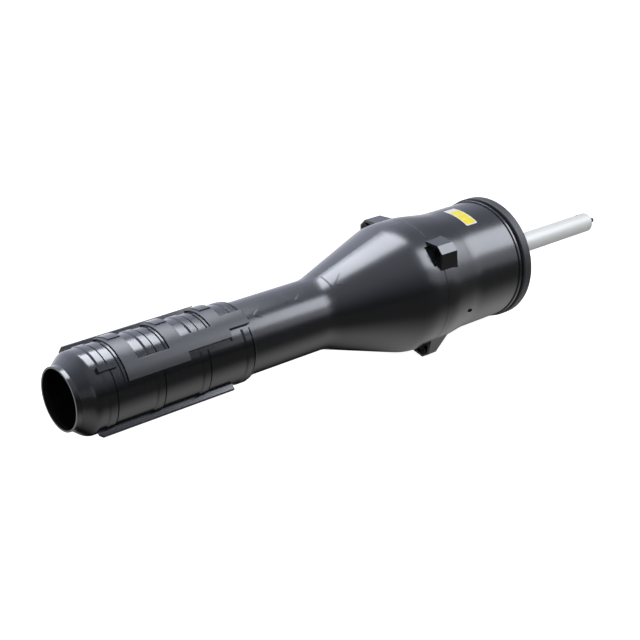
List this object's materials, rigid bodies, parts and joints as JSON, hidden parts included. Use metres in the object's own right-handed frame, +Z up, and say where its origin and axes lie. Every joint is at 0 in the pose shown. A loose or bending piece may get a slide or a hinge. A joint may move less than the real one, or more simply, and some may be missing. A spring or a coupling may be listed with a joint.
{
  "type": "blower attachment",
  "caption": "Blower attachment for a split-shaft power head: pipe with drive shaft, axial fan in a flared housing behind an inlet guard, cone, tube and an adjustable sliding nozzle.",
  "frame": {"origin": "centre of the pipe's rear end, where it goes into the power head's coupling", "axes": "+X back along the pipe, out of the attachment and towards the power head; the nozzle's mouth is at -X; +Z up as the attachment is carried, with the twist-lock track on the upper -Y side"},
  "size_m": [0.8365, 0.1588, 0.1596],
  "materials": {
    "satin_aluminium": "satin",
    "natural_nylon": "matte",
    "black_plastic": "semi-gloss",
    "dark_grey_plastic": "matte",
    "black_nylon": "matte",
    "machined_steel": "machined",
    "bearing_steel": "polished",
    "spring_steel": "blued",
    "zinc_steel": "zinc plated"
  },
  "bodies": {
    "blower_body": {"main_pipe": "satin_aluminium", "shaft_bushes": "natural_nylon", "fan_housing": "black_plastic", "inlet_guard": "dark_grey_plastic", "guard_screws": "zinc_steel", "pipe_screws": "zinc_steel", "rear_bearing_outer_ring": "bearing_steel", "front_bearing_outer_ring": "bearing_steel", "outer_bearing_spacer": "machined_steel", "bearing_circlip": "spring_steel", "guide_vanes": "black_nylon", "tail_cone": "black_nylon", "front_duct": "black_plastic", "seam_screws": "zinc_steel"},
    "rotor": {"drive_shaft": "machined_steel", "rear_bearing_inner_ring": "bearing_steel", "front_bearing_inner_ring": "bearing_steel", "inner_bearing_spacer": "machined_steel", "fan_spacer": "machined_steel", "fan": "black_nylon", "fan_washer": "zinc_steel", "fan_nut": "zinc_steel"},
    "nozzle": {"nozzle": "black_plastic"}
  },
  "joints": [
    {"name": "fan_spin", "type": "hinge", "parent": "blower_body", "child": "rotor", "pos_m": [-0.276, 0, 0], "axis": [1, 0, 0], "continuous": true},
    {"name": "nozzle_slide", "type": "slide", "parent": "blower_body", "child": "nozzle", "axis": [1, 0, 0], "range_m": [0, 0.114]}
  ]
}
